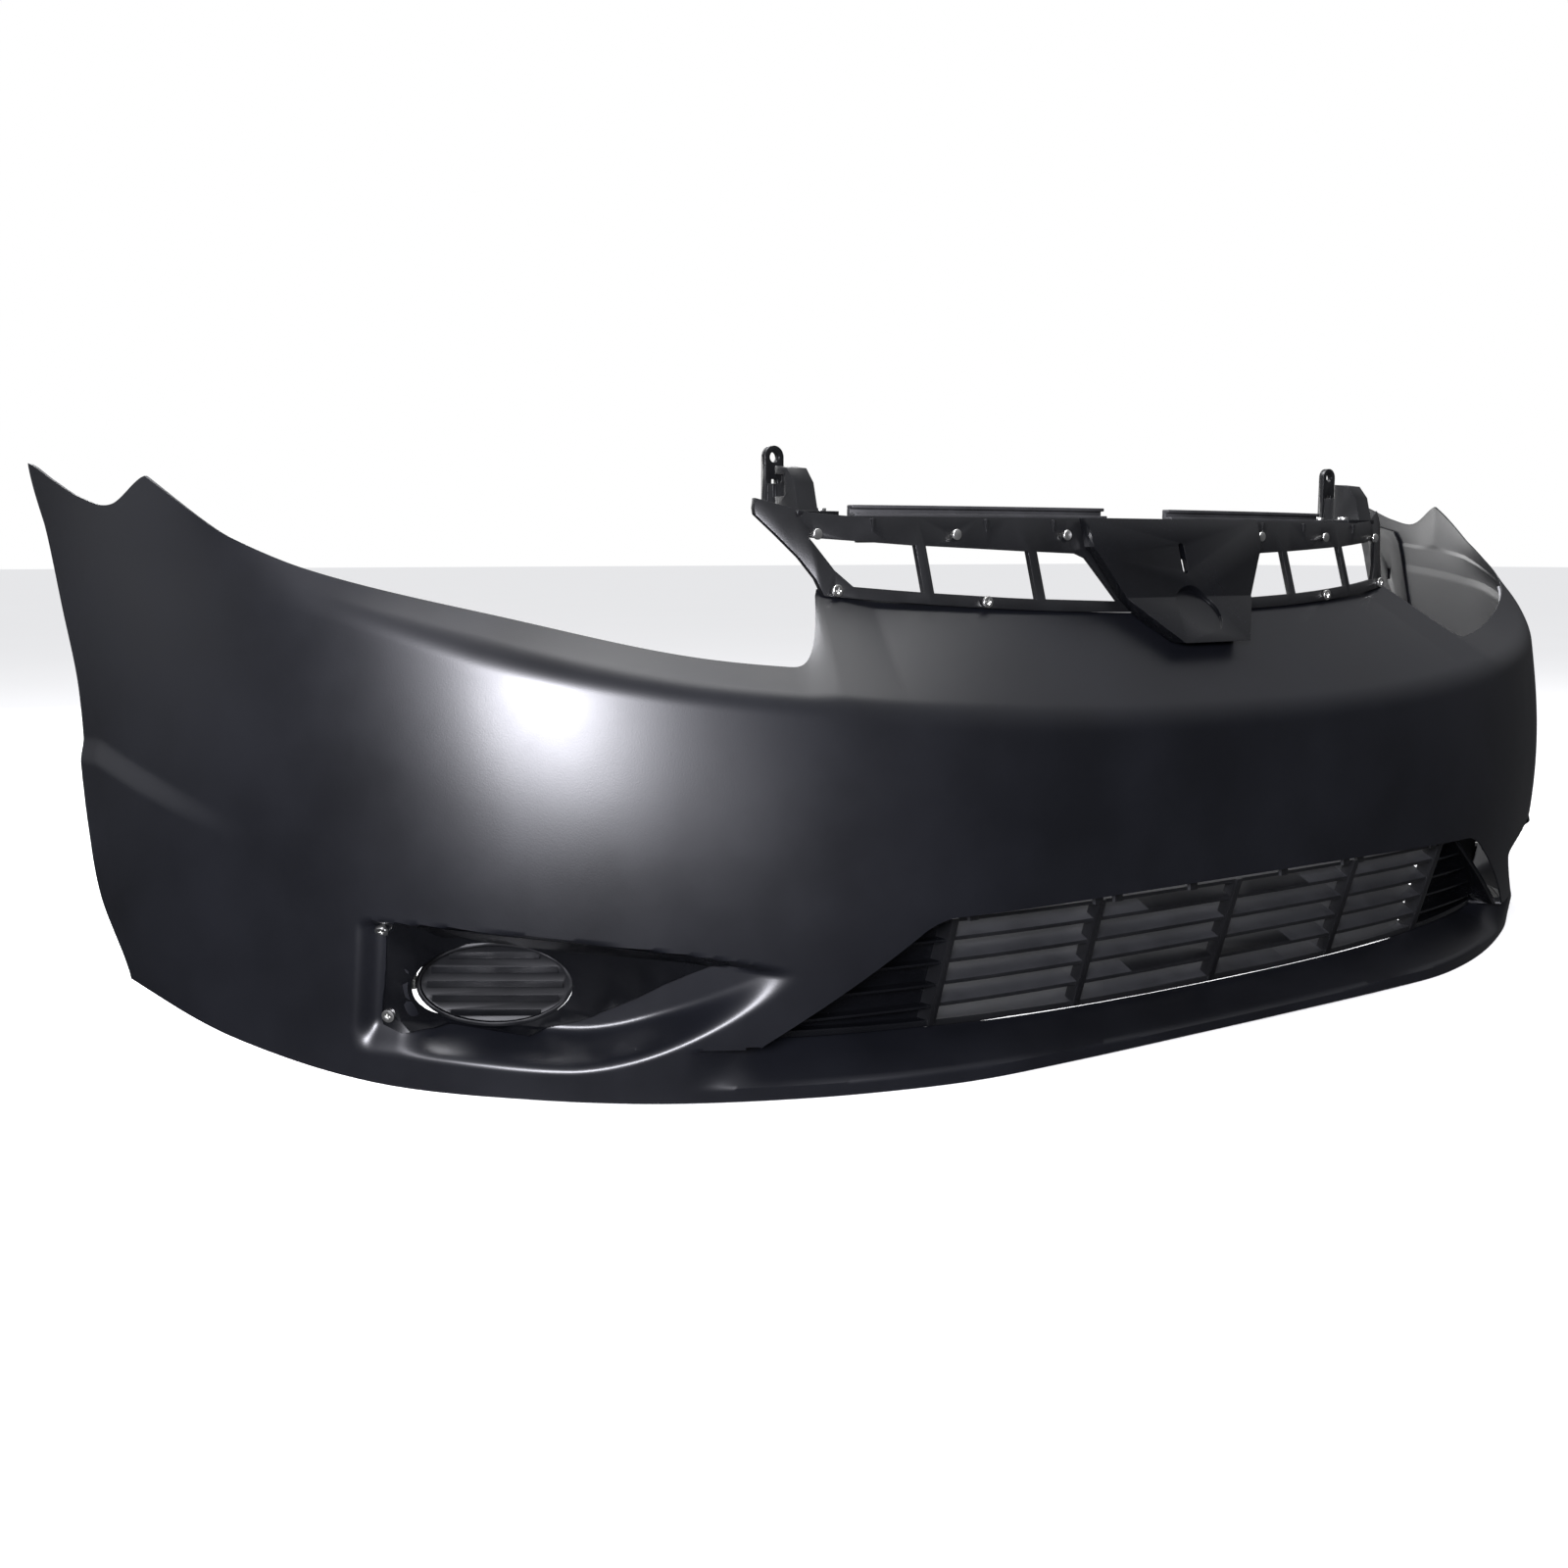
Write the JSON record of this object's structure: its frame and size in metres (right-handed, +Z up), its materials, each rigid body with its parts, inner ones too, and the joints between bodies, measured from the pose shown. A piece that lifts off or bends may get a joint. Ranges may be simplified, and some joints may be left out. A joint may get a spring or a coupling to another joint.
{
  "type": "bumper cover",
  "caption": "Front bumper cover of a saloon car with upper grille base, lower grille, louvred fog lamp blanks, support brackets and fasteners.",
  "frame": {"origin": "middle of the footprint's bounding box, level with the lip's lowest edge", "axes": "+Z up, the nose faces -Y, +X to the right seen from in front. Right and left in names are seen from in front."},
  "size_m": [1.738, 0.5745, 0.5045],
  "materials": {
    "skin_plastic": "satin black primer on moulded plastic",
    "black_plastic": "textured moulded black",
    "gray_plastic": "moulded gray",
    "seal_rubber": "matt",
    "zinc_steel": "zinc plated"
  },
  "bodies": {
    "root": {"bumper_cover": "skin_plastic", "upper_grille_base": "black_plastic", "emblem_panel": "black_plastic", "support_bracket_left": "black_plastic", "support_bracket_right": "black_plastic", "top_seal_left": "seal_rubber", "top_seal_right": "seal_rubber", "lower_grille": "black_plastic", "fog_bezel_left": "black_plastic", "fog_bezel_right": "black_plastic", "fog_cover_left": "black_plastic", "fog_cover_right": "black_plastic", "fog_cover_clips_left": "zinc_steel", "fog_cover_clips_right": "zinc_steel", "bezel_screws_left": "zinc_steel", "bezel_screws_right": "zinc_steel", "bezel_speed_nuts_left": "zinc_steel", "bezel_speed_nuts_right": "zinc_steel", "headlamp_bracket_left": "gray_plastic", "headlamp_bracket_right": "gray_plastic", "side_retainer_left": "black_plastic", "side_retainer_right": "black_plastic", "nose_screws": "zinc_steel", "bracket_screws": "zinc_steel", "rail_clips": "zinc_steel", "grille_clips": "zinc_steel"}
  },
  "joints": []
}
